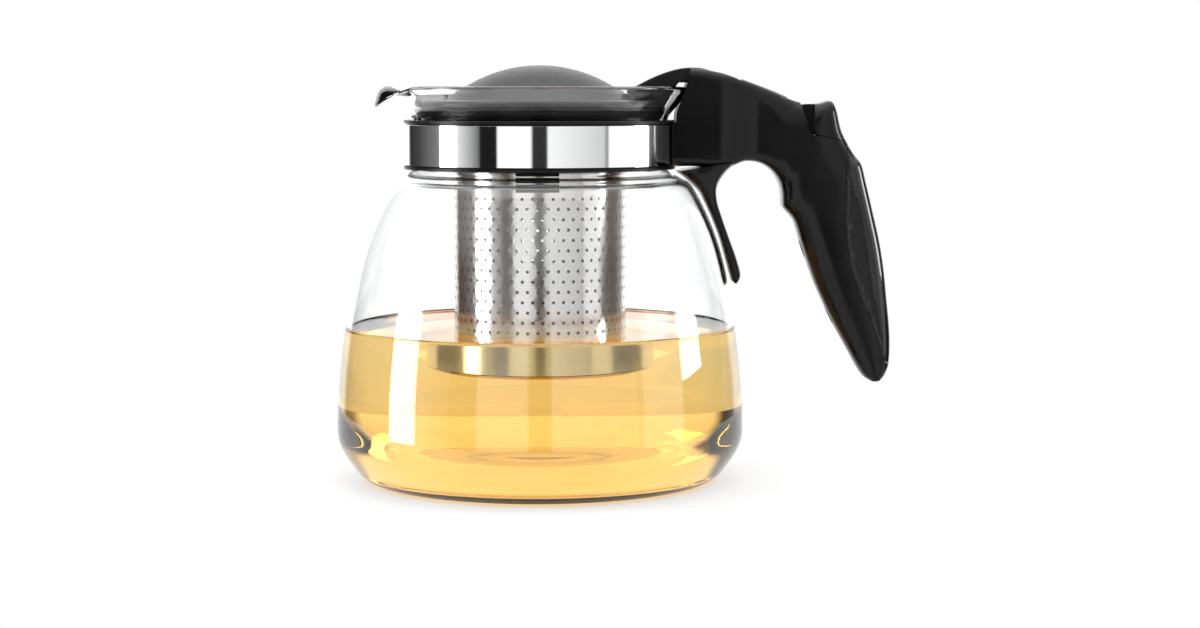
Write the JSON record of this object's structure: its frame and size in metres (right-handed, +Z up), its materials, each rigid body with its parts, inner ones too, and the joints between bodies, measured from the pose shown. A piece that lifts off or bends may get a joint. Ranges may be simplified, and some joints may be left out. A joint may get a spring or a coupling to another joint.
{
  "type": "tea infuser",
  "caption": "Glass tea jug with a black handle, a polished neck band, a hinged domed lid and a lift-out perforated steel infuser basket.",
  "frame": {"origin": "centre of the jug's flat base, where it rests on the table", "axes": "+Z up along the jug's axis; +X towards the handle, so the pouring lip points along -X; +Y to the far side of the handle"},
  "size_m": [0.18, 0.1322, 0.1342],
  "materials": {
    "jug_glass": "clear heat-proof glass",
    "band_steel": "mirror-polished stainless steel",
    "basket_steel": "satin perforated stainless sheet",
    "dome_steel": "satin stainless steel",
    "hardware_steel": "plain bright steel",
    "handle_plastic": "smooth semi-gloss black moulding",
    "cover_plastic": "high-gloss black moulding",
    "satin_black_plastic": "satin black moulding",
    "seal_rubber": "soft grey silicone",
    "tea_liquid": null
  },
  "bodies": {
    "pot": {"glass_jug": "jug_glass", "neck_liner": "satin_black_plastic", "neck_band": "band_steel", "clamp_screw": "hardware_steel", "clamp_nut": "hardware_steel", "handle_body": "handle_plastic", "handle_back_cover": "cover_plastic", "cover_screw_upper": "hardware_steel", "cover_screw_lower": "hardware_steel", "lever_pin": "hardware_steel"},
    "lever": {"thumb_lever": "cover_plastic"},
    "rod": {"push_rod": "satin_black_plastic"},
    "infuser": {"infuser_collar": "satin_black_plastic", "collar_seal": "seal_rubber", "hinge_pin": "hardware_steel"},
    "basket": {"basket_wall": "basket_steel", "basket_base": "basket_steel"},
    "lid": {"lid_frame": "satin_black_plastic", "lid_dome": "dome_steel"}
  },
  "joints": [
    {"name": "infuser_lift", "type": "slide", "parent": "pot", "child": "infuser", "axis": [0, 0, 1], "range_m": [0, 0.1]},
    {"name": "basket_unclip", "type": "slide", "parent": "infuser", "child": "basket", "axis": [0, 0, -1], "range_m": [0, 0.02]},
    {"name": "lid_hinge", "type": "hinge", "parent": "infuser", "child": "lid", "pos_m": [0.0555, 0, 0.1245], "axis": [0, 1, 0], "range_deg": [0, 50]},
    {"name": "lever_press", "type": "hinge", "parent": "pot", "child": "lever", "pos_m": [0.0887, 0, 0.1102], "axis": [0, -1, 0], "range_deg": [0, 20]},
    {"name": "rod_push", "type": "slide", "parent": "pot", "child": "rod", "axis": [-1, 0, 0], "range_m": [0, 0.00423]}
  ],
  "couplings": [
    {"joint": "lever_press", "follows": "lid_hinge", "ratio": 0.4},
    {"joint": "rod_push", "follows": "lid_hinge", "m_per_rad": 0.00484}
  ]
}
